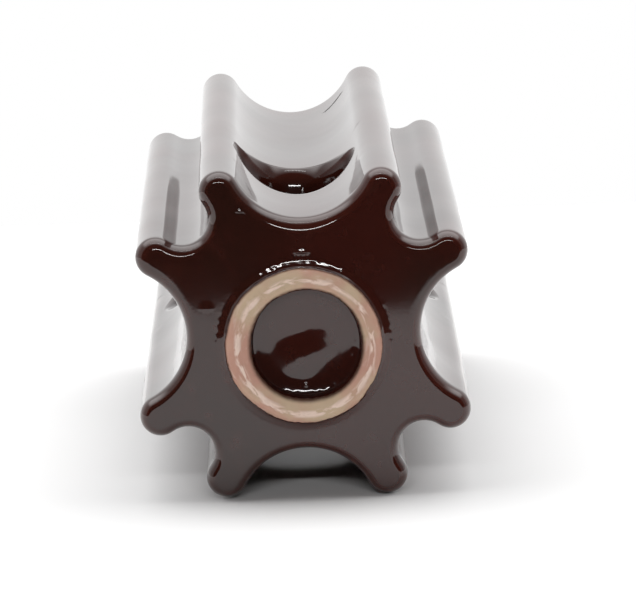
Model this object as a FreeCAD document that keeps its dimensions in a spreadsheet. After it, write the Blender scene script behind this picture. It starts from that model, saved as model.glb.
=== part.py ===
"""Guy strain insulator: one wet-process porcelain body, fluted, cross-drilled and glazed.

The body is a pugged bar with eight ribs, four wide grooves for the guy wires and four narrow
flutes between them. Two holes cross it at right angles, one near each end. It lies on two
ribs, long axis along Y, with its kiln ring at the -Y end and the ground at z = 0.
"""

import FreeCAD, Part
import Sketcher
import math
import os

NODE = "porcelain_body"

# Driving sizes in millimetres and degrees, each with the form that it sets.
SIZES = [
    ("overall_length", 171.5, "kiln ring's crest to the far end face"),
    ("envelope_diameter", 88.9, "circle that touches all eight ribs"),
    ("rib_tip_radius", 5.0, "round nose of each rib"),
    ("rib_angle", 29.0, "rib's turn from the middle of its wire groove"),
    ("groove_floor", 28.0, "long axis to the floor of a wide wire groove"),
    ("flute_floor", 33.7, "long axis to the floor of a narrow flute"),
    ("end_bevel", 2.3, "soft edge round both end faces"),
    ("bore_diameter", 25.4, "wire hole"),
    ("bore_spacing", 57.0, "one wire hole to the other along the body"),
    ("mouth_rounding", 6.5, "rolled lip where a wire leaves its hole"),
    ("ring_outer_radius", 18.8, "kiln ring, outside"),
    ("ring_width", 5.8, "kiln ring, wall"),
    ("ring_height", 3.6, "kiln ring's crest above the end face"),
    ("ring_crown", 1.0, "rise of the ring's rounded crest"),
    ("ring_drop", 2.2, "ring's centre below the long axis"),
    ("ring_foot", 1.7, "slope of glaze that runs from the end face onto the ring"),
    ("dish_depth", 2.4, "glazed dish inside the ring: its middle below the end face"),
    ("dish_radius", 90.0, "glazed dish inside the ring: its curve"),
]

doc = FreeCAD.newDocument("guy_strain_insulator")
sheet = doc.addObject("Spreadsheet::Sheet", "Sizes")
for row, (alias, value, meaning) in enumerate(SIZES, start=1):
    sheet.set(f"A{row}", str(value))
    sheet.setAlias(f"A{row}", alias)
    sheet.set(f"B{row}", meaning)
doc.recompute()


def size(alias):
    """Read one driving size from the sheet."""
    return float(sheet.get(alias))


def measure(formula):
    """Work out a formula of the sheet's sizes."""
    return float(sheet.evalExpression(formula))


def origin_plane(body, role):
    """Find one of the body's own origin planes."""
    return next(p for p in body.Origin.OriginFeatures if p.Role == role)


def new_sketch(body, name, role):
    """Start a sketch on an origin plane of the body."""
    sketch = body.newObject("Sketcher::SketchObject", name)
    sketch.AttachmentSupport = (origin_plane(body, role), [""])
    sketch.MapMode = "FlatFace"
    return sketch


def polar(radius, degrees):
    """Point of a sketch at a radius and a turn from its horizontal axis."""
    turn = math.radians(degrees)
    return FreeCAD.Vector(radius * math.cos(turn), radius * math.sin(turn), 0)


def bind(sketch, constraint, name, formula):
    """Name a constraint of the sketch and tie it to the sheet."""
    index = sketch.addConstraint(constraint)
    sketch.renameConstraint(index, name)
    sketch.setExpression(f"Constraints.{name}", formula)


# Sketch elements are numbered from the origin: -1 is the horizontal axis, and its point 1 is
# the origin itself. Points 1, 2 and 3 of an arc are its start, its end and its centre.
ORIGIN = (-1, 1)
START, END, CENTRE = 1, 2, 3

# Places closer than this are the same place.
TINY = 0.001

RIB_CIRCLE = "(Sizes.envelope_diameter / 2 - Sizes.rib_tip_radius)"


def place_point(sketch, spot, formulas, name):
    """Fix one point of a sketch at a pair of formulas."""
    across, upward = formulas
    along_x = Sketcher.Constraint("DistanceX", *ORIGIN, *spot, measure(across))
    along_y = Sketcher.Constraint("DistanceY", *ORIGIN, *spot, measure(upward))
    bind(sketch, along_x, f"{name}_across", across)
    bind(sketch, along_y, f"{name}_up", upward)


def hollow_arc(middle, floor, half_angle):
    """Arc of a groove or flute that runs smoothly into the rib on each side.

    Its circle passes through the floor point and touches both rib noses from outside.
    """
    nose = size("rib_tip_radius")
    rib_circle = size("envelope_diameter") / 2 - nose
    reach = rib_circle * math.cos(math.radians(half_angle)) - floor + nose
    centre_distance = (rib_circle**2 - (floor - nose) ** 2) / (2 * reach)
    radius = centre_distance - floor
    centre = polar(centre_distance, middle)
    first = polar(rib_circle, middle - half_angle) - centre
    last = polar(rib_circle, middle + half_angle) - centre
    circle = Part.Circle(centre, FreeCAD.Vector(0, 0, 1), radius)
    # The hollow faces outwards, so its arc runs from the later rib back to the earlier one.
    return Part.ArcOfCircle(circle, math.atan2(last.y, last.x), math.atan2(first.y, first.x))


def rib_arc(middle, before, after):
    """Nose of a rib, from the hollow before it to the hollow after it."""
    nose = size("rib_tip_radius")
    centre = polar(size("envelope_diameter") / 2 - nose, middle)
    first = before.Center - centre
    last = after.Center - centre
    circle = Part.Circle(centre, FreeCAD.Vector(0, 0, 1), nose)
    # The nose meets each hollow on the line between the two arcs' centres.
    return Part.ArcOfCircle(circle, math.atan2(first.y, first.x), math.atan2(last.y, last.x))


def draw_section(sketch):
    """Closed outline of sixteen tangent arcs: groove, rib, flute, rib, four times round."""
    rib_angle = size("rib_angle")
    flute_half = 45 - rib_angle
    hollows = []
    for quarter in range(4):
        groove_middle = 90 * quarter
        hollows.append(hollow_arc(groove_middle, size("groove_floor"), rib_angle))
        hollows.append(hollow_arc(groove_middle + 45, size("flute_floor"), flute_half))

    rib_turns = []
    for quarter in range(4):
        rib_turns += [f"{90 * quarter} + Sizes.rib_angle", f"{90 * quarter + 90} - Sizes.rib_angle"]

    outline = []
    for step, hollow in enumerate(hollows):
        following = hollows[(step + 1) % len(hollows)]
        outline += [hollow, rib_arc(measure(rib_turns[step]), hollow, following)]
    sketch.addGeometry(outline, False)

    count = len(outline)
    for hollow in range(0, count, 2):
        rib = hollow + 1
        following = (hollow + 2) % count
        sketch.addConstraint(Sketcher.Constraint("Tangent", hollow, START, rib, START))
        sketch.addConstraint(Sketcher.Constraint("Tangent", rib, END, following, END))

    for step, turn in enumerate(rib_turns):
        rib = 2 * step + 1
        centre = (f"{RIB_CIRCLE} * cos(({turn}) * 1 deg)", f"{RIB_CIRCLE} * sin(({turn}) * 1 deg)")
        place_point(sketch, (rib, CENTRE), centre, f"rib_{step + 1}")
        nose = Sketcher.Constraint("Radius", rib, size("rib_tip_radius"))
        bind(sketch, nose, f"rib_{step + 1}_nose", "Sizes.rib_tip_radius")

    for step in range(len(hollows)):
        alias = "groove_floor" if step % 2 == 0 else "flute_floor"
        floor = (f"Sizes.{alias} * cos({45 * step} * 1 deg)", f"Sizes.{alias} * sin({45 * step} * 1 deg)")
        point = sketch.addGeometry(Part.Point(polar(size(alias), 45 * step)), True)
        place_point(sketch, (point, START), floor, f"floor_{step + 1}")
        sketch.addConstraint(Sketcher.Constraint("PointOnObject", point, START, 2 * step))


def draw_outline(sketch, corners, bulges):
    """Closed outline through corners, each a pair of formulas of the sheet's sizes.

    A stretch is straight, or an arc where bulges gives a point that it passes through.
    """
    spots = [FreeCAD.Vector(measure(across), measure(upward), 0) for across, upward in corners]
    entries = []
    exits = []
    for step, spot in enumerate(spots):
        following = spots[(step + 1) % len(spots)]
        if step in bulges:
            through = FreeCAD.Vector(*[measure(formula) for formula in bulges[step]], 0)
            turns_left = (through - spot).cross(following - spot).z > 0
            first, last = (spot, following) if turns_left else (following, spot)
            element = sketch.addGeometry(Part.ArcOfCircle(first, through, last), False)
            entries.append((element, START if turns_left else END))
            exits.append((element, END if turns_left else START))
        else:
            element = sketch.addGeometry(Part.LineSegment(spot, following), False)
            entries.append((element, START))
            exits.append((element, END))
    for leaving, entering in zip(exits, entries[1:] + entries[:1]):
        sketch.addConstraint(Sketcher.Constraint("Coincident", *leaving, *entering))
    for step, (entry, corner) in enumerate(zip(entries, corners), start=1):
        place_point(sketch, entry, corner, f"corner_{step}")
    for step, bulge in bulges.items():
        place = FreeCAD.Vector(*[measure(formula) for formula in bulge], 0)
        point = sketch.addGeometry(Part.Point(place), True)
        place_point(sketch, (point, START), bulge, f"bulge_{step}")
        sketch.addConstraint(Sketcher.Constraint("PointOnObject", point, START, entries[step][0]))


def draw_hole(sketch, centre, turn):
    """One wire hole's circle in two halves that meet at a turn from the horizontal axis.

    Both holes meet along the body's length, where the lips of their mouths are widest.
    """
    place = FreeCAD.Vector(*[measure(formula) for formula in centre], 0)
    circle = Part.Circle(place, FreeCAD.Vector(0, 0, 1), size("bore_diameter") / 2)
    start, middle, end = [math.radians(turn + half) for half in (0, 180, 360)]
    near = sketch.addGeometry(Part.ArcOfCircle(circle, start, middle), False)
    far = sketch.addGeometry(Part.ArcOfCircle(circle, middle, end), False)
    level = "Horizontal" if turn == 0 else "Vertical"
    place_point(sketch, (near, CENTRE), centre, "hole")
    wall = Sketcher.Constraint("Diameter", near, size("bore_diameter"))
    bind(sketch, wall, "hole_diameter", "Sizes.bore_diameter")
    sketch.addConstraint(Sketcher.Constraint(level, near, START, near, CENTRE))
    sketch.addConstraint(Sketcher.Constraint(level, near, END, near, CENTRE))
    sketch.addConstraint(Sketcher.Constraint("Coincident", far, CENTRE, near, CENTRE))
    sketch.addConstraint(Sketcher.Constraint("Coincident", far, START, near, END))
    sketch.addConstraint(Sketcher.Constraint(level, far, END, far, CENTRE))


def end_sketch(body, name):
    """Start a half section that turns about the kiln ring's axis.

    Its horizontal axis is the ring's axis and runs into the body from the end face. Its
    vertical axis is the radius.
    """
    sketch = new_sketch(body, name, "YZ_Plane")
    sketch.setExpression(".AttachmentOffset.Base.x", "Sizes.ring_height - Sizes.overall_length / 2")
    sketch.setExpression(".AttachmentOffset.Base.y", "-Sizes.ring_drop")
    return sketch


def dish_point(radius):
    """Point of the dish's curve at a radius from the ring's axis."""
    curve = f"sqrt(Sizes.dish_radius ^ 2 - ({radius}) ^ 2)"
    return (f"Sizes.dish_depth - Sizes.dish_radius + {curve}", radius)


def revolve(body, kind, name, sketch):
    """Turn a half section right round its horizontal axis."""
    feature = body.newObject(f"PartDesign::{kind}", name)
    feature.Profile = sketch
    feature.ReferenceAxis = (sketch, ["H_Axis"])
    feature.Angle = 360
    doc.recompute()
    return feature


def drill(body, name, role, centre, turn):
    """Cut one wire hole right through the body, square to an origin plane."""
    sketch = new_sketch(body, f"{name}_circle", role)
    draw_hole(sketch, centre, turn)
    hole = body.newObject("PartDesign::Pocket", name)
    hole.Profile = sketch
    hole.Type = "ThroughAll"
    hole.Midplane = True
    hole.Refine = False
    doc.recompute()
    return hole


def edges_where(feature, test):
    """Names of the feature's edges that pass a test."""
    edges = enumerate(feature.Shape.Edges, start=1)
    return [f"Edge{number}" for number, edge in edges if test(edge)]


def ease_edges(body, kind, name, base, test, formula):
    """Bevel or round the edges of the feature before that pass a test."""
    eased = body.newObject(f"PartDesign::{kind}", name)
    eased.Base = (base, edges_where(base, test))
    eased.Refine = False
    eased.setExpression("Size" if kind == "Chamfer" else "Radius", formula)
    doc.recompute()
    return eased


def is_end_outline(edge):
    """True for an edge that lies in one of the bar's two end faces."""
    ends = (size("ring_height") - size("overall_length") / 2, size("overall_length") / 2)
    box = edge.BoundBox
    return any(abs(box.YMin - end) < TINY and abs(box.YMax - end) < TINY for end in ends)


def is_mouth(edge):
    """True for an edge where a wire hole runs out into the grooves."""
    middle = edge.valueAt((edge.FirstParameter + edge.LastParameter) / 2)
    offset = size("bore_spacing") / 2
    wall = size("bore_diameter") / 2
    inside = size("groove_floor") - TINY
    on_upright = abs(math.hypot(middle.x, middle.y + offset) - wall) < TINY
    on_level = abs(math.hypot(middle.z, middle.y - offset) - wall) < TINY
    return (on_upright and abs(middle.z) > inside) or (on_level and abs(middle.x) > inside)


body = doc.addObject("PartDesign::Body", NODE)
body.Label = NODE
# The two lowest ribs stand on the ground, so the long axis is this high above it.
axis_height = f"{RIB_CIRCLE} * cos(Sizes.rib_angle * 1 deg) + Sizes.rib_tip_radius"
body.setExpression(".Placement.Base.z", axis_height)

# The fluted bar as it leaves the pug, cut to length. Its section lies on the ring's end face.
section = new_sketch(body, "star_section", "XZ_Plane")
section.setExpression(".AttachmentOffset.Base.z", "Sizes.overall_length / 2 - Sizes.ring_height")
draw_section(section)
doc.recompute()

bar = body.newObject("PartDesign::Pad", "pugged_bar")
bar.Profile = section
bar.Reversed = True
bar.setExpression("Length", "Sizes.overall_length - Sizes.ring_height")
doc.recompute()

end_bevel = "min(Sizes.end_bevel; 0.6 * Sizes.rib_tip_radius)"
soft_ends = ease_edges(body, "Chamfer", "soft_ends", bar, is_end_outline, end_bevel)

# The kiln ring stands proud of one end face, under a rounded crest. Glaze slopes up to its
# outside from the end face.
ring_outside = "Sizes.ring_outer_radius"
ring_inside = "(Sizes.ring_outer_radius - Sizes.ring_width)"
ring_middle = "(Sizes.ring_outer_radius - Sizes.ring_width / 2)"
shoulder = "Sizes.ring_crown - Sizes.ring_height"
slope = "min(Sizes.ring_foot; 0.95 * (Sizes.ring_height - Sizes.ring_crown))"
ring_corners = [
    ("0", ring_inside),
    (shoulder, ring_inside),
    (shoulder, ring_outside),
    (f"-{slope}", ring_outside),
    ("0", f"{ring_outside} + {slope}"),
]
ring_profile = end_sketch(body, "ring_profile")
draw_outline(ring_profile, ring_corners, {1: ("-Sizes.ring_height", ring_middle)})
doc.recompute()
kiln_ring = revolve(body, "Revolution", "kiln_ring", ring_profile)

# Inside the ring the end is a shallow glazed dish.
dish_corners = [
    ("-Sizes.ring_height", "0"),
    dish_point("0"),
    dish_point(ring_inside),
    ("-Sizes.ring_height", ring_inside),
]
dish_profile = end_sketch(body, "dish_profile")
draw_outline(dish_profile, dish_corners, {1: dish_point(f"{ring_inside} / 2")})
doc.recompute()
dish = revolve(body, "Groove", "dish", dish_profile)

# One wire hole is upright and near the ring, the other is level and near the plain end.
before_ring = ("0", "-Sizes.bore_spacing / 2")
upright_hole = drill(body, "upright_hole", "XY_Plane", before_ring, 90)
level_hole = drill(body, "level_hole", "YZ_Plane", ("Sizes.bore_spacing / 2", "0"), 0)

# Where a wire leaves its hole it bends over a rolled lip. The lip ends on the groove's own
# arc, whose edge towards the rib is this far round it, given as a sine.
nose_floor = "(Sizes.groove_floor - Sizes.rib_tip_radius)"
groove_reach = f"({RIB_CIRCLE} * cos(Sizes.rib_angle * 1 deg) - {nose_floor})"
groove_radius = f"(({RIB_CIRCLE} ^ 2 - {nose_floor} ^ 2) / (2 * {groove_reach}) - Sizes.groove_floor)"
groove_edge = f"({RIB_CIRCLE} * sin(Sizes.rib_angle * 1 deg) / ({groove_radius} + Sizes.rib_tip_radius))"
widest_lip = f"({groove_radius} * {groove_edge} - Sizes.bore_diameter / 2) / (1 - {groove_edge})"
lip = f"min(Sizes.mouth_rounding; 0.9 * ({widest_lip}))"
wire_lips = ease_edges(body, "Fillet", "wire_lips", level_hole, is_mouth, lip)

for made in doc.Objects:
    if {"Invalid", "Error"} & set(made.State):
        raise RuntimeError(f"{made.Name} failed: {made.State}")
shape = body.Shape
if shape.isNull() or not shape.isValid() or len(shape.Solids) != 1:
    raise RuntimeError(f"{NODE} isn't one sound solid")
for before, after, adds in [
    (bar, soft_ends, False),
    (soft_ends, kiln_ring, True),
    (kiln_ring, dish, False),
    (dish, upright_hole, False),
    (upright_hole, level_hole, False),
    (level_hole, wire_lips, False),
]:
    if (after.Shape.Volume > before.Shape.Volume) != adds:
        raise RuntimeError(f"{after.Name} took away or added porcelain the wrong way")

os.makedirs("parts", exist_ok=True)
shape.exportStep(f"parts/{NODE}.step")
print(f"{NODE}: {shape.Volume / 1000:.1f} cm3, {len(shape.Faces)} faces")
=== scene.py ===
"""Looks of a guy strain insulator: wet-process porcelain under a chocolate-brown glaze.

The insulator is one fired piece. Its mesh here is finer than its solid, with the soft ends, the
rolled lips of the wire holes, the bare kiln ring and the slow waves of a dipped glaze. Until the
mesh is made, lengths are millimetres from the middle of the body's long axis.
"""

import math

import bmesh
import bpy
import numpy as np
from mathutils import Matrix, Vector, geometry


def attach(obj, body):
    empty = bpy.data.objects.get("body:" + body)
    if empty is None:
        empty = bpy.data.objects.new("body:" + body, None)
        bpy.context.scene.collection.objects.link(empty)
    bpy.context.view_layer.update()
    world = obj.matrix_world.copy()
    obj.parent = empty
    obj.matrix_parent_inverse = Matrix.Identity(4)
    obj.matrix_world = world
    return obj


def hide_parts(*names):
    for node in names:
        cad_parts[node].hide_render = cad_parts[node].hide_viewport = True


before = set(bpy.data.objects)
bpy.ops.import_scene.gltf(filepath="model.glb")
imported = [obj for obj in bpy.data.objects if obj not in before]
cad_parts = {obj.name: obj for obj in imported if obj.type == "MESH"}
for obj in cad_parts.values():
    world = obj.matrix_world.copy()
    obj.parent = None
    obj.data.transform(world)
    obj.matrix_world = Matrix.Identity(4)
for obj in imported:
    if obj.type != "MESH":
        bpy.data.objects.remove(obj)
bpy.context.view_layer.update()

# The body's sizes in millimetres, as in its solid.
FRONT_FACE = -82.15
BACK_FACE = 85.75
AXIS_HEIGHT = 39.5037
RIB_CIRCLE = 39.45
RIB_NOSE = 5.0
RIB_TURN = math.radians(29)
GROOVE_FLOOR = 28.0
FLUTE_FLOOR = 33.7
HOLE_RADIUS = 12.7
HOLE_OFFSET = 28.5
RING_INSIDE = 13.0
RING_HEIGHT = 3.6
RING_DROP = 2.2
DISH_DEPTH = 2.4
DISH_RADIUS = 90.0

# Glaze rounds the ends more softly than the solid's bevel does. Elsewhere than in a few evenly
# round places, the rounding turns more tightly beside the end face, by this share.
END_ROUNDING = 3.9
END_TIGHTNESS = 0.7
# The evenly round places: degrees clockwise from the top, and reach.
EVENLY_ROUND = ((0, 36), (-61, 16))

# The ring's clay: the radii of its outside and its crest, the height at which its inside starts,
# how far it stands proud of the foot of glaze, and a power that makes its crest fuller than round.
RING_OUTSIDE = 18.85
RING_CREST = 15.9
RING_INNER_HEIGHT = 1.7
CLAY_STEP = 0.12
CREST_FULLNESS = 0.84
# The foot of glaze round the clay: the radius where it starts, its first bend, its even slope in
# degrees, that slope's width, its second bend, and the slopes in degrees along both bends.
FOOT_RADIUS = 20.9
FOOT_FILLET = 1.6
FOOT_SLOPE = 20.6
FOOT_WIDTH = 0.8
FOOT_BEND = 1.2
FIRST_SLOPES = (0, 7, 14, FOOT_SLOPE)
SECOND_SLOPES = (33, 46, 60)
# Radius and height of the glazed wall inside the clay, and the dish's own radius.
DISH_WALL = ((12.97, 1.45), (12.94, 1.0), (12.92, 0.4))
DISH_EDGE = 12.9
# The dish's floor and edge as bends: radius, slope in degrees at the end, and rows of mesh.
DISH_BENDS = ((DISH_RADIUS, 5.87, 27), (13.4, 15, 7), (1, 19.5, 1), (28, 22, 4), (0.6, 86, 8))

# A wire hole's mouth starts at a crease, rolls round its lip and runs on in a taper. The crease
# and the lip's radius are given at the hole's sides and towards the body's ends.
LIP_CREASE = (math.radians(12), math.radians(40))
LIP_ROLL = (3.0, 8.8)
TAPER_DEPTH = 21.5
MOUTH_HALF_WIDTH = 14.9
MOUTH_HALF_LENGTH = 18.5
# The mouths were trimmed a little to one side of the holes.
MOUTH_LEAN = -0.83
# Half the length of the groove that a hole's mouth is meshed in.
MOUTH_REACH = 24.0

# A pugged bar dries with a slight twist, which is shared between its two ends.
TWIST = math.radians(1.44)
# The twisted ribs still lie within the solid's box, so the section is this much smaller.
TWIST_SHRINK = 0.9936

# Mesh cells across a wide groove, a rib's nose and a narrow flute, and along a mouth. A mouth
# takes some of the nose's cells too.
GROOVE_CELLS = 32
NOSE_CELLS = 20
FLUTE_CELLS = 16
MOUTH_CELLS = 32
MOUTH_NOSE_CELLS = 3
# Mesh rows from a mouth's border to its lip, round the lip and down the wall.
BORDER_ROWS, LIP_ROWS, WALL_ROWS = 8, 12, 17
# The wall's rows lie closest beside the lip.
WALL_CROWDING = 1.3
# Mesh rows of an end's rounding and of the clay's crest, and columns round the ring.
ROUNDING_ROWS = 16
CREST_ROWS = 25
RING_COLUMNS = 352
# An end face's mesh points: the distance between them and half the square that they fill, then
# how far they and finer points keep from the face's edge and from the ring's foot.
FACE_GRID = 1.1
FACE_REACH = 44
GRID_MARGIN, FINE_MARGIN = 0.6, 0.3
FOOT_MARGIN, FINE_FOOT_MARGIN = 2.4, 0.25
# Mesh loops outside the ring's foot: how far out, and every how many columns they have a point.
FOOT_LOOPS = ((0.4, 1), (0.95, 2), (1.7, 2))

# Pimples of glaze on the ring's end: across, up, reach across, reach up and height.
PIMPLES = [
    (-14.3, 30.1, 0.58, 0.50, 0.305),
    (0.0, 19.95, 1.05, 0.60, 0.34),
    (-22.8, 6.9, 0.9, 0.9, 0.10),
]
# A pimple ran down a little, so its underside is drawn in to this share of its upper side.
UNDERSIDE = 0.22
# Swells of pooled glaze in the dish, from the ring's middle, with their reaches and height.
SWELLS = [
    (2.2, -0.8, 2.6, 2.6, 0.22),
    (-2.0, -3.5, 3.0, 3.0, 0.26),
    (1.5, -4.0, 2.6, 2.6, 0.16),
    (0.3, -10.1, 0.36, 0.36, 0.25),
]
# A pimple or swell fades out at this many times its reach.
FADE_OUT = 2.2
# Mesh loops round a pimple: points in the loop, and its distance in the pimple's reaches.
PIMPLE_LOOPS = (
    (1, 0),
    (8, 0.3),
    (14, 0.6),
    (20, 0.9),
    (26, 1.15),
    (28, 1.4),
    (26, 1.7),
    (24, 2.2),
    (22, 2.7),
    (20, 3.5),
)
# How far the even grid keeps from the last of these loops.
LOOP_MARGIN = 0.4
# How thin the glaze runs on rib noses, on the edges of the ends and at the top of the dish's wall.
NOSE_THINNESS, EDGE_THINNESS, WALL_THINNESS = 0.55, 0.8, 0.6
# The ring's inside was wiped a little to one side of its outside: across and up.
INSIDE_SHIFT = (0.6, 0.45)
# The scratch in the top groove, in metres and radians.
SCRATCH_PLACE = (0.01028, 0.0679, 0)
SCRATCH_TURN = (0, 0, -0.646)

# The wiped edges of the clay, outside and inside, and the beads on the foot and at the dish's
# edge: distance from the ring's middle, and reach.
OUTER_EDGE, INNER_EDGE = (18.9, 1.2), (13.1, 1.3)
FOOT_BEADS, DISH_BEADS = (20.1, 1.5), (12.0, 0.8)

# Waves in the surfaces, as height, length and seed. The glaze lies in slow waves, with finer ones
# of about 10 mm. It pools unevenly in the dish. It crept back from the wiped clay, so its edges
# wander and lie in small beads. Wiped clay has shallow scrapes and grains of about a millimetre.
GLAZE_WAVES = ((0.026, 38, 11), (0.0025, 10, 12))
DISH_WAVES = ((0.030, 9.5, 23), (0.005, 4, 24))
EDGE_WAVES = ((0.10, 17, 3), (0.02, 3.2, 4))
BEAD_WAVES = ((0.015, 2.0, 41),)
CLAY_WAVES = ((0.06, 7, 31), (0.03, 1.7, 32), (0.02, 0.9, 33))
# The skin lies this far inside the solid, so that its waves stay inside too, and wiped clay
# lies lower than the glaze did.
SKIN_DEPTH = 0.12
WIPED_DEPTH = 0.15


def linear(code):
    """Turn an sRGB hex colour into linear RGBA."""
    shares = [int(code[start : start + 2], 16) / 255 for start in (1, 3, 5)]
    values = [s / 12.92 if s <= 0.04045 else ((s + 0.055) / 1.055) ** 2.4 for s in shares]
    return (*values, 1.0)


def grey(level):
    """Neutral colour of a linear level."""
    return (level, level, level, 1.0)


def add_node(tree, kind, settings=None, links=None):
    """Add a node with its settings and with links into its sockets."""
    node = tree.nodes.new(kind)
    for name, value in (settings or {}).items():
        if isinstance(name, int) or name in node.inputs:
            node.inputs[name].default_value = value
        else:
            setattr(node, name, value)
    for name, source in (links or {}).items():
        tree.links.new(source, node.inputs[name])
    return node


def hollow(floor, half_turn):
    """Distance from the axis, radius and half sweep of the arc between two ribs."""
    inner = floor - RIB_NOSE
    rib_height = RIB_CIRCLE * math.cos(half_turn)
    distance = (RIB_CIRCLE**2 - inner**2) / (2 * (rib_height - inner))
    radius = distance - floor
    sweep = math.acos((distance - rib_height) / (radius + RIB_NOSE))
    return distance, radius, sweep


GROOVE = hollow(GROOVE_FLOOR, RIB_TURN)
FLUTE = hollow(FLUTE_FLOOR, math.pi / 4 - RIB_TURN)


def compass(turns):
    """Unit directions in the section, turned clockwise from straight up."""
    return np.stack([np.sin(turns), np.cos(turns)], axis=-1)


def trace_section():
    """Points and outward directions round the section, from the top groove clockwise."""
    points, outward = [], []
    hollows = [GROOVE, FLUTE] * 4
    for step, (distance, radius, sweep) in enumerate(hollows):
        turn = step * math.pi / 4
        cells = GROOVE_CELLS if step % 2 == 0 else FLUTE_CELLS
        opposite = turn - math.pi
        ways = compass(np.linspace(opposite + sweep, opposite - sweep, cells, endpoint=False))
        points.append(distance * compass(turn) + radius * ways)
        outward.append(-ways)
        after = hollows[(step + 1) % 8]
        rib_turn = turn + (RIB_TURN if step % 2 == 0 else math.pi / 4 - RIB_TURN)
        last = turn + math.pi / 4 + after[2]
        ways = compass(np.linspace(turn - sweep, last, NOSE_CELLS, endpoint=False))
        points.append(RIB_CIRCLE * compass(rib_turn) + RIB_NOSE * ways)
        outward.append(ways)
    return np.concatenate(points), np.concatenate(outward)


SECTION, OUTWARD = trace_section()
# Directions of the columns round the kiln ring.
TURNS = np.linspace(0, 2 * math.pi, RING_COLUMNS, endpoint=False)

patches = []


def add_patch(points, faces, bare=0.0, thin=0.0, across=0.0):
    """Keep points and faces. Bare marks clay, thin a thin glaze, across a place on the ring."""
    marks = [np.asarray(value, float) for value in (bare, thin, across)]
    marks = [np.broadcast_to(value, len(points)) for value in marks]
    patches.append((np.asarray(points, float), np.asarray(faces, int), np.stack(marks, axis=-1)))


def add_sheet(points, closed=False, bare=0.0, thin=0.0, across=0.0):
    """Keep a grid of points, whose last column may join its first."""
    points = np.asarray(points, float)
    rows, columns = points.shape[:2]
    index = np.arange(rows * columns).reshape(rows, columns)
    right = np.roll(index, -1, axis=1) if closed else index[:, 1:]
    left = index if closed else index[:, :-1]
    quads = np.stack([left[:-1], right[:-1], right[1:], left[1:]], axis=-1).reshape(-1, 4)
    marks = [np.broadcast_to(value, (rows, columns)).ravel() for value in (bare, thin, across)]
    add_patch(points.reshape(-1, 3), quads, *marks)


def ring_grid(flat, levels):
    """Grid from rows of section points, each row at one place along the body."""
    rows = []
    for row, level in zip(flat, levels):
        rows.append(np.stack([row[:, 0], np.broadcast_to(level, len(row)), row[:, 1]], axis=1))
    return np.array(rows)


# The stretches of the body that a mouth is meshed in.
FRONT_STRETCH = (-HOLE_OFFSET - MOUTH_REACH, -HOLE_OFFSET + MOUTH_REACH)
BACK_STRETCH = (HOLE_OFFSET - MOUTH_REACH, HOLE_OFFSET + MOUTH_REACH)
STATIONS = np.concatenate(
    [
        np.linspace(FRONT_FACE + END_ROUNDING, FRONT_STRETCH[0], 16, endpoint=False),
        np.linspace(*FRONT_STRETCH, MOUTH_CELLS, endpoint=False),
        np.linspace(FRONT_STRETCH[1], BACK_STRETCH[0], 8, endpoint=False),
        np.linspace(*BACK_STRETCH, MOUTH_CELLS, endpoint=False),
        np.linspace(BACK_STRETCH[1], BACK_FACE - END_ROUNDING, 19),
    ]
)


def mesh_sides():
    """Ribs, flutes and grooves, left open round the four mouths."""
    first = 0
    thin = NOSE_THINNESS * np.sin(np.linspace(0, math.pi, NOSE_CELLS + 1)) ** 2
    for step in range(8):
        cells = GROOVE_CELLS if step % 2 == 0 else FLUTE_CELLS
        hollow_part = SECTION[(first + np.arange(cells + 1)) % len(SECTION)]
        nose_part = SECTION[(first + cells + np.arange(NOSE_CELLS + 1)) % len(SECTION)]
        first += cells + NOSE_CELLS
        # A rib's nose has a mouth on the side of its groove.
        shut = slice(MOUTH_NOSE_CELLS, None) if step % 2 == 0 else slice(None, -MOUTH_NOSE_CELLS)
        middle = -HOLE_OFFSET if (step + step % 2) % 4 == 0 else HOLE_OFFSET
        before = STATIONS[STATIONS <= middle - MOUTH_REACH + 0.001]
        beside = STATIONS[np.abs(STATIONS - middle) <= MOUTH_REACH + 0.001]
        beyond = STATIONS[STATIONS >= middle + MOUTH_REACH - 0.001]
        for levels, part in ((before, slice(None)), (beside, shut), (beyond, slice(None))):
            add_sheet(ring_grid([nose_part[part]] * len(levels), levels), thin=thin[part])
        for levels in (before, beyond) if step % 2 == 0 else (STATIONS,):
            add_sheet(ring_grid([hollow_part] * len(levels), levels))


def groove_surface(run):
    """Place across, place outward and tilt of the normal at a run from the groove's middle."""
    distance, radius, sweep = GROOVE
    beyond = np.abs(run) - radius * sweep
    on_nose = beyond > 0
    tilt = np.where(on_nose, sweep - beyond / RIB_NOSE, np.abs(run) / radius)
    bend = np.where(on_nose, RIB_NOSE, -radius)
    across = on_nose * RIB_CIRCLE * math.sin(RIB_TURN) - bend * np.sin(tilt)
    out = np.where(on_nose, RIB_CIRCLE * math.cos(RIB_TURN), distance) + bend * np.cos(tilt)
    return across * np.sign(run), out, tilt * np.sign(run)


def mouth_border():
    """Runs and levels of the mesh points round a mouth's part of the groove."""
    half = GROOVE[1] * GROOVE[2]
    cell = RIB_NOSE * (math.pi / 4 + FLUTE[2] + GROOVE[2]) / NOSE_CELLS
    nose = half + cell * np.arange(1, MOUTH_NOSE_CELLS + 1)
    runs = np.concatenate([-nose[::-1], np.linspace(-half, half, GROOVE_CELLS + 1), nose])
    levels = np.linspace(-MOUTH_REACH, MOUTH_REACH, MOUTH_CELLS + 1)
    border = [(run, levels[0]) for run in runs[:-1]]
    border += [(runs[-1], level) for level in levels[:-1]]
    border += [(run, levels[-1]) for run in runs[:0:-1]]
    border += [(runs[0], level) for level in levels[:0:-1]]
    return np.array(border)


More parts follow.
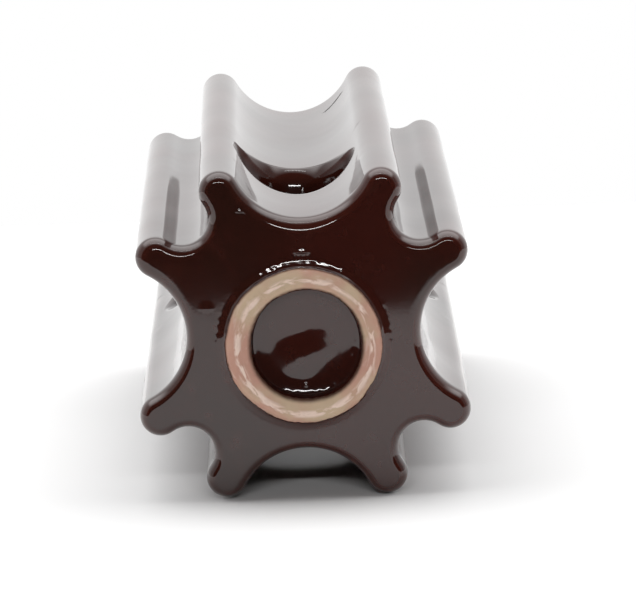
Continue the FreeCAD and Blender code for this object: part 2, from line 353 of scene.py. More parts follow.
def mesh_hole(turn, middle):
    """One wire hole, from the groove on one side through to the groove on the other."""
    border = mouth_border()
    angles = np.arctan2(border[:, 1], border[:, 0] - MOUTH_LEAN)
    flare = np.sin(angles) ** 2
    crease = (LIP_CREASE[0] + (LIP_CREASE[1] - LIP_CREASE[0]) * flare)[:, None]
    roll = (LIP_ROLL[0] + (LIP_ROLL[1] - LIP_ROLL[0]) * flare)[:, None]
    edge_across = MOUTH_LEAN + MOUTH_HALF_WIDTH * np.cos(angles)
    edge_along = MOUTH_HALF_LENGTH * np.sin(angles)
    # The lip's edge is known by its place across. Its run from the groove's middle is looked up.
    runs = np.linspace(-20.5, 20.5, 4001)
    edge_run = np.interp(edge_across, groove_surface(runs)[0], runs)
    across, out, tilt = groove_surface(edge_run)
    edge = np.stack([across, out, edge_along], axis=1)
    normal = np.stack([-np.sin(tilt), np.cos(tilt), 0 * tilt], axis=1)
    inward = np.stack([MOUTH_LEAN - across, 0 * out, -edge_along], axis=1)
    inward /= np.linalg.norm(inward, axis=1)[:, None]

    # The lip starts along the groove's surface, tipped in by the crease, and turns to the wall.
    along_surface = inward - (inward * normal).sum(axis=1)[:, None] * normal
    along_surface /= np.linalg.norm(along_surface, axis=1)[:, None]
    start = np.cos(crease) * along_surface - np.sin(crease) * normal
    # The wall's taper depends on where the lip ends, so both are found in a few rounds.
    taper = np.zeros((len(border), 1))
    for _ in range(4):
        down = np.sin(taper) * inward - np.cos(taper) * [0, 1, 0]
        cosine = (start * down).sum(axis=1)[:, None]
        span = np.arccos(np.clip(cosine, -1, 1))
        away = (cosine * start - down) / np.sin(span)
        centre = edge - roll * away
        top = centre + roll * (np.cos(span) * away + np.sin(span) * start)
        wide = np.linalg.norm(top[:, [0, 2]] - [MOUTH_LEAN, 0], axis=1)[:, None]
        taper = np.arctan(2 * (wide - HOLE_RADIUS) / TAPER_DEPTH)

    rows, thin = [], []
    lip = np.stack([edge_run, edge_along], axis=1)
    for share in np.linspace(0, 1, BORDER_ROWS + 1):
        place = border + (lip - border) * share
        across, out, _ = groove_surface(place[:, 0])
        rows.append(np.stack([across, out, place[:, 1]], axis=1))
        thin.append(0.0)
    for share in np.linspace(0, 1, LIP_ROWS + 1)[1:]:
        rows.append(centre + roll * (np.cos(share * span) * away + np.sin(share * span) * start))
        thin.append(math.sin(math.pi * share))

    # Below the lip the wall runs in to the hole's own radius.
    spoke = top[:, [0, 2]] - [MOUTH_LEAN, 0]
    for share in np.linspace(0, 1, WALL_ROWS + 1)[1:] ** WALL_CROWDING:
        out = top[:, 1] * (1 - share)
        left = (1 - np.clip((top[:, 1] - out) / TAPER_DEPTH, 0, 1)) ** 2
        reach = (HOLE_RADIUS + (wide[:, 0] - HOLE_RADIUS) * left) / wide[:, 0]
        across = MOUTH_LEAN * left + spoke[:, 0] * reach
        rows.append(np.stack([across, out, spoke[:, 1] * reach], axis=1))
        thin.append(0.0)
    rows = np.array(rows)
    thin = np.array(thin)[:, None]
    for side in (1, -1):
        across, out, along = rows[..., 0], side * rows[..., 1], rows[..., 2]
        x = across * math.cos(turn) + out * math.sin(turn)
        z = -across * math.sin(turn) + out * math.cos(turn)
        add_sheet(np.stack([x, along + middle, z], axis=-1), closed=True, thin=thin)


def mesh_end_rounding(face, inwards):
    """Soft edge round one end. The inner row lies in the end face.

    The edge is evenly round at the top groove and at one rib. Elsewhere it turns more tightly
    beside the face.
    """
    turns = np.degrees(np.arctan2(SECTION[:, 0], SECTION[:, 1]))
    even = sum(hump(turns, middle, reach) for middle, reach in EVENLY_ROUND)
    tight = END_TIGHTNESS * (1 - np.clip(even, 0, 1))
    size = (END_ROUNDING / (1 + tight / 3))[:, None]
    tight = tight[:, None]
    angles = np.linspace(0, math.pi / 2, ROUNDING_ROWS)
    cosine, sine = np.cos(angles), np.sin(angles)
    inset = size * (1 - cosine + tight * (cosine - 2 / 3 * cosine**3 - 1 / 3))
    drawn = size * (sine + tight * (sine - 2 / 3 * sine**3))
    flat = [SECTION - OUTWARD * step[:, None] for step in inset.T]
    levels = [face + inwards * (END_ROUNDING - step) for step in drawn.T]
    thin = EDGE_THINNESS * np.sin(2 * angles)[:, None]
    # The last row lies exactly in the face.
    levels[-1] = face
    add_sheet(ring_grid(flat, levels), closed=True, thin=thin)
    return flat[-1]


def disc(radius, turns=TURNS):
    """Circle of points about the kiln ring's middle, in the section."""
    return radius * compass(turns) - [0, RING_DROP]


def from_ring(spots):
    """Distance of spots in the section from the kiln ring's middle."""
    return np.hypot(spots[:, 0], spots[:, 1] + RING_DROP)


def depth_inside(edge, spots):
    """How far inside the star's edge each spot lies."""
    gaps = spots[:, None] - edge[None]
    nearest = (gaps**2).sum(axis=2).argmin(axis=1)
    return -(gaps[np.arange(len(spots)), nearest] * OUTWARD[nearest]).sum(axis=1)


def draw_in(offsets):
    """How far a drop is drawn in below its middle, for offsets from there."""
    return np.where(offsets < 0, [1, UNDERSIDE], 1)


def mesh_end_face(edge, face, has_ring):
    """Glaze of one end face in even triangles, finer at the pimples and the ring's foot."""
    steps = np.arange(-FACE_REACH, FACE_REACH, FACE_GRID)
    x, z = np.meshgrid(steps, steps * math.sqrt(0.75))
    x[::2] += FACE_GRID / 2
    grid = np.stack([x.ravel(), z.ravel()], axis=1)
    grid = grid[depth_inside(edge, grid) > GRID_MARGIN]
    loops, finer = [edge], []
    if has_ring:
        loops.append(disc(FOOT_RADIUS))
        grid = grid[from_ring(grid) > FOOT_RADIUS + FOOT_MARGIN]
        for further, every in FOOT_LOOPS:
            finer.append(disc(FOOT_RADIUS + further, TURNS[::every]))
        for across, up, wide, high, _ in PIMPLES:
            offsets = grid - [across, up]
            offsets /= PIMPLE_LOOPS[-1][1] * draw_in(offsets) * [wide, high] + LOOP_MARGIN
            grid = grid[np.hypot(offsets[:, 0], offsets[:, 1]) > 1]
            for count, far in PIMPLE_LOOPS:
                around = compass(np.linspace(0, 2 * math.pi, count, endpoint=False) + far)
                spots = [across, up] + far * draw_in(around) * around * [wide, high]
                finer.append(spots[from_ring(spots) > FOOT_RADIUS + FINE_FOOT_MARGIN])
        finer = np.concatenate(finer)
        grid = np.concatenate([finer[depth_inside(edge, finer) > FINE_MARGIN], grid])
    points = np.concatenate([*loops, grid])
    borders = []
    start = 0
    for loop in loops:
        borders += [(start + k, start + (k + 1) % len(loop)) for k in range(len(loop))]
        start += len(loop)
    # Output type 1 keeps the triangles inside the outer border.
    found = geometry.delaunay_2d_cdt([Vector(point) for point in points], borders, [], 1, 1e-5)
    origins = np.array([source[0] for source in found[3]])
    faces = origins[np.array(found[2])]
    if has_ring:
        faces = faces[from_ring(points[faces].mean(axis=1)) > FOOT_RADIUS]
    placed = np.stack([points[:, 0], np.full(len(points), face), points[:, 1]], axis=1)
    add_patch(placed, np.concatenate([faces, faces[:, 2:]], axis=1))


def waves(points, length, seed, count=28):
    """Smooth seeded waves over the body, about one high, with the given length in millimetres."""
    chance = np.random.default_rng(seed)
    ways = chance.normal(size=(count, 3))
    ways /= np.linalg.norm(ways, axis=1)[:, None]
    rates = 2 * math.pi / length * chance.uniform(0.7, 1.35, count)
    shifts = chance.uniform(0, 2 * math.pi, count)
    return np.sin(points @ (ways * rates[:, None]).T + shifts).sum(axis=1) / math.sqrt(count / 2)


def uneven(points, layers):
    """Height of a surface over the body, from its layers of waves."""
    return sum(height * waves(points, length, seed) for height, length, seed in layers)


def hump(value, middle, reach):
    """Smooth rise to 1 at the middle that is 0 from the reach on."""
    return np.clip(1 - ((value - middle) / reach) ** 2, 0, 1) ** 2


def ring_profile():
    """Half section of the ring's end: radius, height above the face, bare clay, thin glaze."""
    # The glaze runs up the ring's foot to the wiped clay.
    profile = []
    for angle in np.radians(FIRST_SLOPES):
        radius = FOOT_RADIUS - FOOT_FILLET * math.sin(angle)
        profile.append((radius, FOOT_FILLET * (1 - math.cos(angle)), 0, math.sin(angle)))
    low = profile[-1]
    for share in (1 / 3, 2 / 3, 1):
        radius = low[0] - share * FOOT_WIDTH
        profile.append((radius, low[1] + share * FOOT_WIDTH * math.tan(angle), 0, low[3]))
    low, first = profile[-1], angle
    for angle in np.radians(SECOND_SLOPES):
        radius = low[0] - FOOT_BEND * (math.sin(angle) - math.sin(first))
        height = low[1] + FOOT_BEND * (math.cos(first) - math.cos(angle))
        profile.append((radius, height, 0, math.sin(angle)))
    # The clay's outside stands steep on the foot. Its inside ends higher, at the glazed wall.
    clay_base = profile[-1][1] + CLAY_STEP
    for angle in np.linspace(0, math.pi, CREST_ROWS):
        outside = angle < math.pi / 2
        half = RING_OUTSIDE - RING_CREST if outside else RING_CREST - RING_INSIDE
        base = clay_base if outside else RING_INNER_HEIGHT
        across = math.copysign(abs(math.cos(angle)) ** CREST_FULLNESS, math.cos(angle))
        height = base + (RING_HEIGHT - base) * max(math.sin(angle), 0) ** CREST_FULLNESS
        profile.append((RING_CREST + half * across, height, 1, 0.0))
    for radius, height in DISH_WALL:
        profile.append((radius, height, 0, WALL_THINNESS * height))
    # The dish's floor turns up to the wall, at first gently, with glaze pooled in the corner.
    dish = [(0.0, -DISH_DEPTH, 0, 0.0)]
    slope = 0.0
    for bend, last, rows in DISH_BENDS:
        start, first = dish[-1], slope
        for slope in np.linspace(first, math.radians(last), rows + 1)[1:]:
            radius = start[0] + bend * (math.sin(slope) - math.sin(first))
            height = start[1] + bend * (math.cos(first) - math.cos(slope))
            dish.append((radius, height, 0, 0.0))
    return profile + dish[::-1]


def mesh_ring():
    """Glaze foot, bare clay ring and the glazed dish inside it."""
    rows, bare, thin, across = [], [], [], []
    for radius, height, is_bare, is_thin in ring_profile():
        circle = disc(radius)
        rim = np.stack([circle[:, 0], 0 * TURNS, circle[:, 1]], axis=1)
        # The wiped edges of the glaze wander.
        edge = hump(radius, *OUTER_EDGE) + 0.9 * hump(radius, *INNER_EDGE)
        wander = edge * uneven(rim, EDGE_WAVES)
        place = np.clip((radius - RING_INSIDE) / (RING_OUTSIDE - RING_INSIDE), 0, 1)
        circle = circle + compass(TURNS) * wander[:, None] + (1 - place) * np.array(INSIDE_SHIFT)
        level = np.full(len(TURNS), FRONT_FACE - height)
        rows.append(np.stack([circle[:, 0], level, circle[:, 1]], axis=1))
        bare.append(is_bare)
        thin.append(is_thin)
        across.append(place)
    columns = [np.array(values, float)[:, None] for values in (bare, thin, across)]
    add_sheet(np.array(rows), closed=True, bare=columns[0], thin=columns[1], across=columns[2])


mesh_sides()
mesh_hole(0.0, -HOLE_OFFSET)
mesh_hole(math.pi / 2, HOLE_OFFSET)
mesh_end_face(mesh_end_rounding(FRONT_FACE, 1), FRONT_FACE, True)
mesh_ring()
mesh_end_face(mesh_end_rounding(BACK_FACE, -1), BACK_FACE, False)


def join_patches():
    """One closed mesh from the patches, with their marks carried on its vertices."""
    points = np.concatenate([patch[0] for patch in patches])
    marks = np.concatenate([patch[2] for patch in patches])
    starts = np.cumsum([0] + [len(patch[0]) for patch in patches])
    faces = np.concatenate([patch[1] + start for patch, start in zip(patches, starts)])

    # Edges of neighbouring patches fall on the same places, which become one vertex each.
    keys = np.round(points * 1000).astype(int)
    _, first, same = np.unique(keys, axis=0, return_index=True, return_inverse=True)
    same = same.reshape(-1)
    joined = np.zeros((len(first), 3))
    np.maximum.at(joined, same, marks)
    return points[first], joined, same[faces]


points, marks, faces = join_patches()
faces = [tuple(dict.fromkeys(corners)) for corners in faces.tolist()]
faces = [face for face in faces if len(face) > 2]

mesh = bpy.data.meshes.new("glazed_porcelain")
mesh.from_pydata(points.tolist(), [], faces)
shell = bmesh.new()
shell.from_mesh(mesh)
bmesh.ops.recalc_face_normals(shell, faces=shell.faces)
open_edges = sum(1 for edge in shell.edges if not edge.is_manifold)
if open_edges:
    raise RuntimeError(f"the body's mesh has {open_edges} open edges")
if shell.calc_volume(signed=True) < 0:
    bmesh.ops.reverse_faces(shell, faces=shell.faces)
shell.to_mesh(mesh)
shell.free()

normals = np.zeros(len(points) * 3)
mesh.vertices.foreach_get("normal", normals)
normals = normals.reshape(-1, 3)
bare, thin, across = marks.T

# How far each point rises out of the skin. The dish's waves calm down towards its edge.
from_middle = from_ring(points[:, ::2])
on_face = points[:, 1] < FRONT_FACE + 2
in_dish = (from_middle < DISH_EDGE) & (points[:, 1] < FRONT_FACE + 8)
calm = np.clip((DISH_EDGE - from_middle) / 4, 0, 1)
rise = uneven(points, GLAZE_WAVES)
rise += np.where(in_dish, uneven(points, DISH_WAVES) * calm, 0)
for drops, where, lower, below in (
    (PIMPLES, on_face, 0.0, UNDERSIDE),
    (SWELLS, in_dish, RING_DROP, 1.0),
):
    for side, up, wide, high, height in drops:
        above = (points[:, 2] + lower - up) / high
        gap = np.hypot((points[:, 0] - side) / wide, above / np.where(above < 0, below, 1.0))
        rise += np.where(where, height * hump(gap, 0, FADE_OUT), 0)
beaded = hump(from_middle, *FOOT_BEADS) * on_face * (bare < 0.5)
beaded += hump(from_middle, *DISH_BEADS) * in_dish
rise += beaded * uneven(points, BEAD_WAVES)
rise = np.where(bare > 0.5, uneven(points, CLAY_WAVES) - WIPED_DEPTH, rise)
points = points + normals * (rise - SKIN_DEPTH)[:, None]

turn = TWIST * ((points[:, 1] - FRONT_FACE) / (BACK_FACE - FRONT_FACE) - 0.5)
x = TWIST_SHRINK * (points[:, 0] * np.cos(turn) - points[:, 2] * np.sin(turn))
z = TWIST_SHRINK * (points[:, 0] * np.sin(turn) + points[:, 2] * np.cos(turn))
placed = np.stack([x, points[:, 1], z + AXIS_HEIGHT], axis=1) / 1000
mesh.vertices.foreach_set("co", placed.ravel())
for name, values in (("thin_glaze", thin), ("ring_place", across)):
    mesh.attributes.new(name, "FLOAT", "POINT").data.foreach_set("value", values)
clay_faces = [min(bare[list(polygon.vertices)]) > 0.5 for polygon in mesh.polygons]
mesh.polygons.foreach_set("material_index", np.array(clay_faces, dtype=np.int32))
mesh.polygons.foreach_set("use_smooth", np.ones(len(mesh.polygons), dtype=bool))
mesh.update()

body = bpy.data.objects.new("glazed_porcelain", mesh)
bpy.context.collection.objects.link(body)


def new_material(name):
    """Start a material, and give its node tree and the piece's own coordinates."""
    material = bpy.data.materials.new(name)
    material.use_nodes = True
    tree = material.node_tree
    tree.nodes.clear()
    place = add_node(tree, "ShaderNodeTexCoord").outputs["Object"]
    return material, tree, place


def chocolate_brown_glaze():
    """Dipped chocolate-brown glaze, fired glossy.

    It breaks to a redder brown where it runs thin over edges and rib noses. It is faintly
    clouded in patches of about 36 mm and mottled in patches of about 5 mm. One scratch lies in
    the top groove near the plain end, darkened with painted shade.
    """
    material, tree, place = new_material("chocolate_brown_glaze")
    cloud = add_node(tree, "ShaderNodeTexNoise", {"Scale": 28.0, "Detail": 1.0}, {"Vector": place})
    share = {"interpolation_type": "SMOOTHSTEP", "From Min": 0.36, "From Max": 0.66}
    share = add_node(tree, "ShaderNodeMapRange", share, {"Value": cloud.outputs[0]})
    browns = {"data_type": "RGBA", 6: linear("#2c140e"), 7: linear("#38150f")}
    colour = add_node(tree, "ShaderNodeMix", browns, {0: share.outputs[0]})
    mottle = add_node(tree, "ShaderNodeTexNoise", {"Scale": 200.0, "Detail": 3.0}, {"Vector": place})
    share = {"interpolation_type": "SMOOTHSTEP", "From Min": 0.50, "From Max": 0.80}
    share = add_node(tree, "ShaderNodeMapRange", share, {"Value": mottle.outputs[0]})
    reddish = {"data_type": "RGBA", 7: linear("#3a1a14")}
    colour = add_node(tree, "ShaderNodeMix", reddish, {0: share.outputs[0], 6: colour.outputs[2]})
    thin_glaze = add_node(tree, "ShaderNodeAttribute", {"attribute_name": "thin_glaze"})
    share = {"operation": "MULTIPLY", 1: 0.22}
    share = add_node(tree, "ShaderNodeMath", share, {0: thin_glaze.outputs["Fac"]})
    redder = {"data_type": "RGBA", 7: linear("#55261b")}
    colour = add_node(tree, "ShaderNodeMix", redder, {0: share.outputs[0], 6: colour.outputs[2]})

    # The scratch is 8 mm long and 0.8 mm wide, along the Y of its own frame.
    own_frame = {"vector_type": "TEXTURE", "Location": SCRATCH_PLACE, "Rotation": SCRATCH_TURN}
    own_frame = add_node(tree, "ShaderNodeMapping", own_frame, {"Vector": place})
    wobble = add_node(tree, "ShaderNodeTexNoise", {"Scale": 500.0, "Detail": 2.0}, {"Vector": place})
    shift = {"operation": "MULTIPLY_ADD", 1: 0.0006, 2: -0.0003}
    shift = add_node(tree, "ShaderNodeMath", shift, {0: wobble.outputs[0]})
    parts = add_node(tree, "ShaderNodeSeparateXYZ", links={0: own_frame.outputs[0]})
    beside = {0: parts.outputs["X"], 1: shift.outputs[0]}
    beside = add_node(tree, "ShaderNodeMath", {"operation": "ADD"}, beside)
    beside = add_node(tree, "ShaderNodeMath", {"operation": "ABSOLUTE"}, {0: beside.outputs[0]})
    narrow = {"interpolation_type": "SMOOTHSTEP", "From Min": 0.0008, "From Max": 0.0003}
    narrow = add_node(tree, "ShaderNodeMapRange", narrow, {"Value": beside.outputs[0]})
    along = add_node(tree, "ShaderNodeMath", {"operation": "ABSOLUTE"}, {0: parts.outputs["Y"]})
    short = {"interpolation_type": "SMOOTHSTEP", "From Min": 0.0044, "From Max": 0.0032}
    short = add_node(tree, "ShaderNodeMapRange", short, {"Value": along.outputs[0]})
    height = add_node(tree, "ShaderNodeSeparateXYZ", links={0: place})
    on_top = {"operation": "GREATER_THAN", 1: 0.06}
    on_top = add_node(tree, "ShaderNodeMath", on_top, {0: height.outputs["Z"]})
    scored = {0: narrow.outputs[0], 1: short.outputs[0]}
    scored = add_node(tree, "ShaderNodeMath", {"operation": "MULTIPLY"}, scored)
    scored = {0: scored.outputs[0], 1: on_top.outputs[0]}
    scored = add_node(tree, "ShaderNodeMath", {"operation": "MULTIPLY"}, scored)
    # The scratch's dark colour is painted shade in its cut.
    painted_scratch_shade = {"data_type": "RGBA", 7: linear("#1c1312")}
    colour = add_node(tree, "ShaderNodeMix", painted_scratch_shade, {0: scored.outputs[0], 6: colour.outputs[2]})
    dull = {"To Min": 0.07, "To Max": 0.6}
    dull = add_node(tree, "ShaderNodeMapRange", dull, {"Value": scored.outputs[0]})
    cut = {"Strength": 1.0, "Distance": 0.0004, "invert": True}
    cut = add_node(tree, "ShaderNodeBump", cut, {"Height": scored.outputs[0]})

    # Pits and specks of about 0.7 mm roughen the gloss a little. Real ones are finer, but
    # wouldn't show.
    speck = add_node(tree, "ShaderNodeTexNoise", {"Scale": 1400.0, "Detail": 2.0}, {"Vector": place})
    skin = {"Height": speck.outputs[0], "Normal": cut.outputs[0]}
    skin = add_node(tree, "ShaderNodeBump", {"Strength": 0.02, "Distance": 0.00012}, skin)
    surface = {"Base Color": colour.outputs[2], "Normal": skin.outputs[0]}
    surface["Roughness"] = dull.outputs[0]
    shader = add_node(tree, "ShaderNodeBsdfPrincipled", {"IOR": 1.58}, surface)
    add_node(tree, "ShaderNodeOutputMaterial", links={"Surface": shader.outputs["BSDF"]})
    return material


def bare_fired_clay():
    """Bare clay of the wiped kiln ring, fired matt.

    It is pinkish tan, in patches of about 14 mm, with faint pale streaks, a painted highlight
    along its crest and grains of about half a millimetre.
    """
    material, tree, place = new_material("bare_fired_clay")
    patch = add_node(tree, "ShaderNodeTexNoise", {"Scale": 70.0, "Detail": 3.0}, {"Vector": place})
    share = {"interpolation_type": "SMOOTHSTEP", "From Min": 0.38, "From Max": 0.62}
    share = add_node(tree, "ShaderNodeMapRange", share, {"Value": patch.outputs[0]})
    clays = {"data_type": "RGBA", 6: linear("#c39583"), 7: linear("#c8af93")}
    colour = add_node(tree, "ShaderNodeMix", clays, {0: share.outputs[0]})

    # Scrapes run round the ring, about 4 mm long and 1.5 mm wide.
    middle = {"operation": "SUBTRACT", 1: (0, 0, (AXIS_HEIGHT - RING_DROP) / 1000)}
    spoke = add_node(tree, "ShaderNodeVectorMath", middle, {0: place})
    flat = {"operation": "MULTIPLY", 1: (1, 0, 1)}
    spoke = add_node(tree, "ShaderNodeVectorMath", flat, {0: spoke.outputs[0]})
    reach = add_node(tree, "ShaderNodeVectorMath", {"operation": "LENGTH"}, {0: spoke.outputs[0]})
    around = {0: spoke.outputs[0]}
    around = add_node(tree, "ShaderNodeVectorMath", {"operation": "NORMALIZE"}, around)
    around = {0: around.outputs[0]}
    around = add_node(tree, "ShaderNodeVectorMath", {"operation": "SCALE", "Scale": 0.016}, around)
    apart = {"operation": "MULTIPLY", 1: 3.0}
    apart = add_node(tree, "ShaderNodeMath", apart, {0: reach.outputs["Value"]})
    apart = add_node(tree, "ShaderNodeCombineXYZ", {0: 0.034}, {1: apart.outputs[0]})
    lines = {0: around.outputs[0], 1: apart.outputs[0]}
    lines = add_node(tree, "ShaderNodeVectorMath", {"operation": "ADD"}, lines)
    streak = {"Scale": 230.0, "Detail": 4.0, "Distortion": 0.6}
    scrape = add_node(tree, "ShaderNodeTexNoise", streak, {"Vector": lines.outputs[0]})

    # A painted highlight lies along the crest, broken up, in a band 1.5 mm wide that wanders
    # across the ring. Faint pale streaks lie anywhere.
    ring_place = add_node(tree, "ShaderNodeAttribute", {"attribute_name": "ring_place"})
    drift = add_node(tree, "ShaderNodeTexNoise", {"Scale": 60.0, "Detail": 2.0}, {"Vector": place})
    shift = {"operation": "MULTIPLY_ADD", 1: 0.36, 2: -0.70}
    shift = add_node(tree, "ShaderNodeMath", shift, {0: drift.outputs[0]})
    off_crest = {0: ring_place.outputs["Fac"], 1: shift.outputs[0]}
    off_crest = add_node(tree, "ShaderNodeMath", {"operation": "ADD"}, off_crest)
    off_crest = {0: off_crest.outputs[0]}
    off_crest = add_node(tree, "ShaderNodeMath", {"operation": "ABSOLUTE"}, off_crest)
    crest = {"interpolation_type": "SMOOTHSTEP", "From Min": 0.20, "From Max": 0.05}
    crest = add_node(tree, "ShaderNodeMapRange", crest, {"Value": off_crest.outputs[0]})
    highlight_breaks = {"interpolation_type": "SMOOTHSTEP", "From Min": 0.42, "From Max": 0.58}
    highlight_breaks = add_node(tree, "ShaderNodeMapRange", highlight_breaks, {"Value": scrape.outputs[0]})
    pale = {0: crest.outputs[0], 1: highlight_breaks.outputs[0]}
    pale = add_node(tree, "ShaderNodeMath", {"operation": "MULTIPLY"}, pale)
    # The crest's pale colour is a painted highlight.
    streak_and_highlight_colour = {"data_type": "RGBA", 7: linear("#efd6c7")}
    colour = add_node(tree, "ShaderNodeMix", streak_and_highlight_colour, {0: pale.outputs[0], 6: colour.outputs[2]})
    faint = {"interpolation_type": "SMOOTHSTEP", "From Min": 0.56, "From Max": 0.74, "To Max": 0.55}
    faint = add_node(tree, "ShaderNodeMapRange", faint, {"Value": scrape.outputs[0]})
    streak_and_highlight_colour = {"data_type": "RGBA", 7: linear("#d9bfb0")}
    colour = add_node(tree, "ShaderNodeMix", streak_and_highlight_colour, {0: faint.outputs[0], 6: colour.outputs[2]})

    # Iron from the glaze stains the clay brown beside it, most inside the ring.
    inside = {"interpolation_type": "SMOOTHSTEP", "From Min": 0.20, "From Max": 0.0}
    inside = add_node(tree, "ShaderNodeMapRange", inside, {"Value": ring_place.outputs["Fac"]})
    stain = {"data_type": "RGBA", 7: linear("#4e3020")}
    colour = add_node(tree, "ShaderNodeMix", stain, {0: inside.outputs[0], 6: colour.outputs[2]})
    outside = {"interpolation_type": "SMOOTHSTEP", "From Min": 0.94, "From Max": 1.0}
    outside = add_node(tree, "ShaderNodeMapRange", outside, {"Value": ring_place.outputs["Fac"]})
    stain = {"data_type": "RGBA", 7: linear("#7d5948")}
    colour = add_node(tree, "ShaderNodeMix", stain, {0: outside.outputs[0], 6: colour.outputs[2]})

    grain = add_node(tree, "ShaderNodeTexNoise", {"Scale": 2200.0, "Detail": 2.0}, {"Vector": place})
    rough = {"Strength": 0.5, "Distance": 0.00015}
    rough = add_node(tree, "ShaderNodeBump", rough, {"Height": grain.outputs[0]})
    surface = {"Base Color": colour.outputs[2], "Normal": rough.outputs[0]}
    shader = add_node(tree, "ShaderNodeBsdfPrincipled", {"Roughness": 0.72, "IOR": 1.5}, surface)
    add_node(tree, "ShaderNodeOutputMaterial", links={"Surface": shader.outputs["BSDF"]})
    return material


mesh.materials.append(chocolate_brown_glaze())
mesh.materials.append(bare_fired_clay())
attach(body, "root")
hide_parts("porcelain_body")


def looking_rays(tree):
    """Shares of rays that come from the camera, and from gloss or glass."""
    ray = add_node(tree, "ShaderNodeLightPath")
    mirrored = {0: ray.outputs["Is Glossy Ray"], 1: ray.outputs["Is Transmission Ray"]}
    mirrored = add_node(tree, "ShaderNodeMath", {"operation": "MAXIMUM"}, mirrored)
    return ray.outputs["Is Camera Ray"], mirrored.outputs[0]


def pale_table():
    """White table under the insulator.

    It ends about 230 mm in front of it, so the end face mirrors the table in its lower part and
    the unlit room above the table's edge in its upper part.
    """
    near, far, sides = -0.317, 0.30, 1.6
    sheet_mesh = bpy.data.meshes.new("pale_table")
    corners = [(-sides, near, 0), (sides, near, 0), (sides, far, 0), (-sides, far, 0)]
    sheet_mesh.from_pydata(corners, [], [(0, 1, 2, 3)])
    table = bpy.data.objects.new("pale_table", sheet_mesh)
    bpy.context.collection.objects.link(table)
    paper, tree, _ = new_material("matt_white_paper")
    seen, mirrored = looking_rays(tree)
    shown = add_node(tree, "ShaderNodeMath", {"operation": "ADD"}, {0: seen, 1: mirrored})
    whites = {"data_type": "RGBA", 6: grey(0.75), 7: grey(0.82)}
    colour = add_node(tree, "ShaderNodeMix", whites, {0: shown.outputs[0]})
    matt = add_node(tree, "ShaderNodeBsdfDiffuse", links={"Color": colour.outputs[2]})
    add_node(tree, "ShaderNodeOutputMaterial", links={"Surface": matt.outputs[0]})
    sheet_mesh.materials.append(paper)


def studio():
    """White studio with its ceiling lit, and an unlit room in front of the table."""
    world = bpy.data.worlds.new("studio")
    bpy.context.scene.world = world
    world.use_nodes = True
    tree = world.node_tree
    tree.nodes.clear()
    seen, mirrored = looking_rays(tree)
    way = add_node(tree, "ShaderNodeTexCoord").outputs["Generated"]
    split = add_node(tree, "ShaderNodeSeparateXYZ", links={0: way})
    aside = {"interpolation_type": "SMOOTHSTEP", "From Min": -0.6, "From Max": 0.6}
    aside = add_node(tree, "ShaderNodeMapRange", aside, {"Value": split.outputs["X"]})
    walls = {"data_type": "RGBA", 6: grey(0.60), 7: grey(0.32)}
    room = add_node(tree, "ShaderNodeMix", walls, {0: aside.outputs[0]})
    behind = {"interpolation_type": "SMOOTHSTEP", "From Min": 0.1, "From Max": 0.75}
    behind = add_node(tree, "ShaderNodeMapRange", behind, {"Value": split.outputs["Y"]})
    backdrop = {"data_type": "RGBA", 7: grey(1.15)}
    room = add_node(tree, "ShaderNodeMix", backdrop, {0: behind.outputs[0], 6: room.outputs[2]})
    # Gloss and glass show the same white behind the insulator as the camera sees.
    white = {"data_type": "RGBA", 7: grey(1)}
    shown = {0: behind.outputs[0], 1: mirrored}
    shown = add_node(tree, "ShaderNodeMath", {"operation": "MULTIPLY"}, shown)
    room = add_node(tree, "ShaderNodeMix", white, {0: shown.outputs[0], 6: room.outputs[2]})

    # The lit ceiling, in directions scaled to lie one unit overhead. It is brightest behind.
    height = {0: split.outputs["Z"]}
    height = add_node(tree, "ShaderNodeMath", {"operation": "MAXIMUM", 1: 0.05}, height)
    width = {0: split.outputs["X"], 1: height.outputs[0]}
    width = add_node(tree, "ShaderNodeMath", {"operation": "DIVIDE"}, width)
    width = add_node(tree, "ShaderNodeMath", {"operation": "ABSOLUTE"}, {0: width.outputs[0]})
    depth = {0: split.outputs["Y"], 1: height.outputs[0]}
    depth = add_node(tree, "ShaderNodeMath", {"operation": "DIVIDE"}, depth)
    lit = {"interpolation_type": "SMOOTHSTEP", "From Min": 1.4, "From Max": 0.8}
    lit = add_node(tree, "ShaderNodeMapRange", lit, {"Value": width.outputs[0]})
    nearer = {"interpolation_type": "SMOOTHSTEP", "From Min": -0.40, "From Max": 0.25}
    nearer = add_node(tree, "ShaderNodeMapRange", nearer, {"Value": depth.outputs[0]})
    farther = {"interpolation_type": "SMOOTHSTEP", "From Min": 1.3, "From Max": 0.7}
    farther = add_node(tree, "ShaderNodeMapRange", farther, {"Value": depth.outputs[0]})
    lit = {0: lit.outputs[0], 1: nearer.outputs[0]}
    lit = add_node(tree, "ShaderNodeMath", {"operation": "MULTIPLY"}, lit)
    lit = {0: lit.outputs[0], 1: farther.outputs[0]}
    lit = add_node(tree, "ShaderNodeMath", {"operation": "MULTIPLY"}, lit)
    panel = {"data_type": "RGBA", 7: grey(3.0)}
    room = add_node(tree, "ShaderNodeMix", panel, {0: lit.outputs[0], 6: room.outputs[2]})

    # The unlit room in front, which the end face and the ribs' front edges mirror.
    ahead = {"interpolation_type": "SMOOTHSTEP", "From Min": -0.22, "From Max": -0.34}
    ahead = add_node(tree, "ShaderNodeMapRange", ahead, {"Value": split.outputs["Y"]})
    unlit = {"data_type": "RGBA", 7: (0.030, 0.026, 0.026, 1)}
    room = add_node(tree, "ShaderNodeMix", unlit, {0: ahead.outputs[0], 6: room.outputs[2]})
    room = add_node(tree, "ShaderNodeMix", white, {0: seen, 6: room.outputs[2]})
    sky = add_node(tree, "ShaderNodeBackground", links={"Color": room.outputs[2]})
    add_node(tree, "ShaderNodeOutputWorld", links={"Surface": sky.outputs[0]})


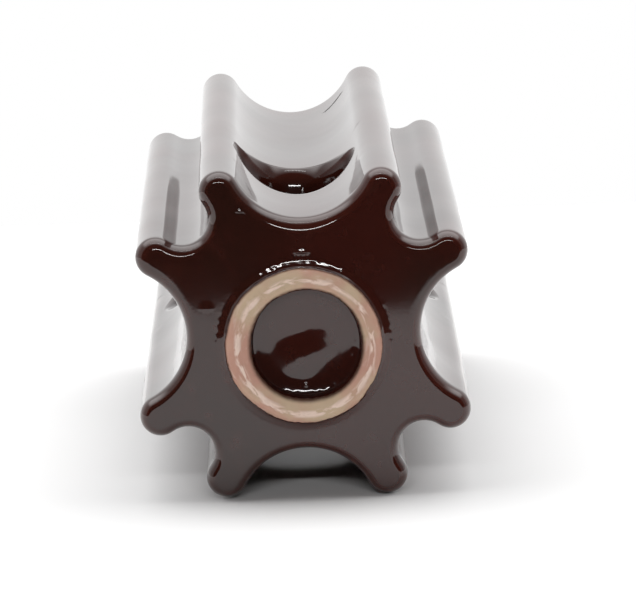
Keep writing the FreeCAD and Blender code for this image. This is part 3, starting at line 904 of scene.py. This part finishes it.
# Each lamp's name, azimuth and elevation in degrees, distance, width and height in metres, and
# radiance. The long strip in front draws a bright line along rounded edges, the fine one overhead
# draws one along upward ones, and grooves mirror the faint wide panel behind.
SOFTBOXES = (
    ("front_strip", 0, 30, 1.2, 0.78, 0.055, 27.0),
    ("top_strip", 0, 86, 1.1, 1.0, 0.02, 12.0),
    ("back_panel", 180, 8, 1.6, 2.6, 1.2, 0.13),
)
# The side fills light the table and the clay, and gloss doesn't mirror them.
SIDE_FILLS = (
    ("side_fill", -110, 22, 1.4, 1.0, 1.0, 1.8),
    ("side_fill", 110, 22, 1.4, 1.0, 1.0, 1.8),
)


def towards(azimuth, elevation):
    """Unit vector from the insulator, at an azimuth and an elevation in radians."""
    level = math.cos(elevation)
    return Vector((math.sin(azimuth) * level, -math.cos(azimuth) * level, math.sin(elevation)))


def add_softbox(name, azimuth, elevation, distance, width, height, radiance):
    """Area light that faces the insulator, given by its radiance."""
    lamp = bpy.data.lights.new(name, "AREA")
    lamp.shape = "RECTANGLE"
    lamp.size, lamp.size_y = width, height
    lamp.energy = radiance * math.pi * width * height
    back = towards(math.radians(azimuth), math.radians(elevation))
    holder = bpy.data.objects.new(name, lamp)
    holder.location = Vector((0, -0.08, 0.04)) + back * distance
    holder.rotation_mode = "QUATERNION"
    holder.rotation_quaternion = back.to_track_quat("Z", "Y")
    holder.visible_camera = False
    bpy.context.collection.objects.link(holder)
    return holder


pale_table()
studio()
for softbox in SOFTBOXES:
    add_softbox(*softbox)
for softbox in SIDE_FILLS:
    add_softbox(*softbox).visible_glossy = False


# The camera was fitted to the outline in the photo. Its place is in metres. It is turned about
# the insulator, raised and rolled by these degrees.
CAMERA_PLACE = (-0.002122, -1.149646, 0.258513)
CAMERA_TURNS = (-0.307, 11.245, -2.144)
CAMERA_LENS = 262.6


def place_camera():
    """Camera at the viewing angle of the photo."""
    camera_data = bpy.data.cameras.new("camera")
    camera_data.lens = CAMERA_LENS
    camera_data.sensor_width = 36.0
    camera_data.clip_start, camera_data.clip_end = 0.05, 20
    camera = bpy.data.objects.new("camera", camera_data)
    bpy.context.collection.objects.link(camera)
    azimuth, elevation, roll = map(math.radians, CAMERA_TURNS)
    back = towards(azimuth, elevation)
    level = (-back).cross(Vector((0, 0, 1))).normalized()
    upward = level.cross(-back)
    right = level * math.cos(roll) + upward * math.sin(roll)
    upward = upward * math.cos(roll) - level * math.sin(roll)
    turned = Matrix((right, upward, back)).transposed().to_4x4()
    camera.matrix_world = Matrix.Translation(CAMERA_PLACE) @ turned
    bpy.context.scene.camera = camera


place_camera()
bpy.context.scene.view_settings.view_transform = "Standard"
